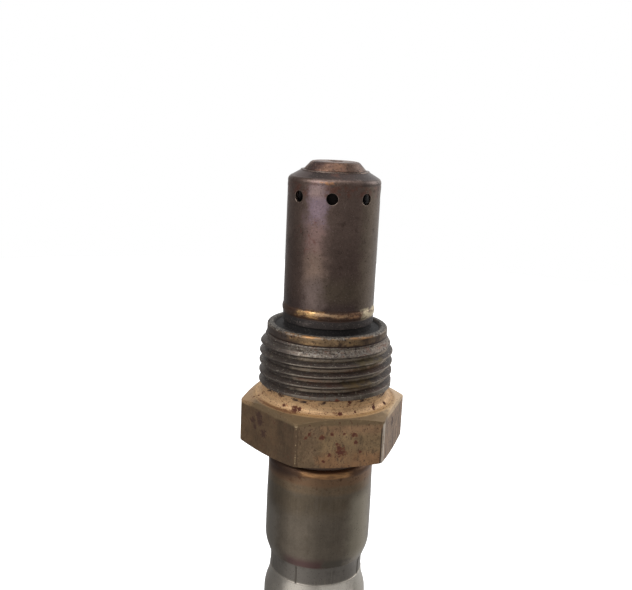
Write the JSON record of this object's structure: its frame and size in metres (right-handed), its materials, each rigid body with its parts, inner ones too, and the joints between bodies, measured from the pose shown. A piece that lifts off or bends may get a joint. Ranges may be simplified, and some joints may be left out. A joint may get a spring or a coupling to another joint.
{
  "type": "nitrogen oxide sensor",
  "caption": "Exhaust gas probe for nitrogen oxides: perforated steel tip, seat collar, free-turning threaded hex nut, and a crimped rear sleeve that ends in a rubber wire grommet.",
  "frame": {"origin": "centre of the seat collar's front rim, on the probe's axis", "axes": "+Z along the axis towards the gas tip; -Y towards the camera of the picture; +X to its right"},
  "size_m": [0.0246, 0.024, 0.0865],
  "materials": {
    "tube_steel": "heat-tinted and sooty",
    "nose_steel": "heat-tinted, copper brown",
    "shell_steel": "heat-tinted, golden brown",
    "nut_steel": "tarnished, with rust specks",
    "sleeve_steel": "heat-tinted at the front, bright behind the crimp",
    "element_ceramic": "fired, matte",
    "cup_steel": "plain pressed sheet",
    "alumina": "fired, matte",
    "talc": "pressed powder",
    "contact_metal": "plated spring sheet",
    "grommet_rubber": "moulded, dusty"
  },
  "bodies": {
    "probe": {"outer_protection_tube": "tube_steel", "inner_protection_tube": "nose_steel", "sensor_shell": "shell_steel", "rear_sleeve": "sleeve_steel", "sensing_element": "element_ceramic", "element_cup": "cup_steel", "front_ceramic_holder": "alumina", "front_talc_ring": "talc", "rear_talc_ring": "talc", "rear_ceramic_sleeve": "alumina", "packing_ring": "cup_steel", "contact_holder": "alumina", "holder_ring": "cup_steel", "wire_grommet": "grommet_rubber", "contact_1": "contact_metal", "contact_2": "contact_metal", "contact_3": "contact_metal", "contact_4": "contact_metal", "contact_5": "contact_metal", "contact_6": "contact_metal", "contact_7": "contact_metal", "contact_8": "contact_metal"},
    "nut": {"swivel_nut": "nut_steel"}
  },
  "joints": [
    {"name": "nut_turn", "type": "hinge", "parent": "probe", "child": "nut", "pos_m": [0, 0, -0.01], "axis": [0, 0, 1], "continuous": true}
  ]
}
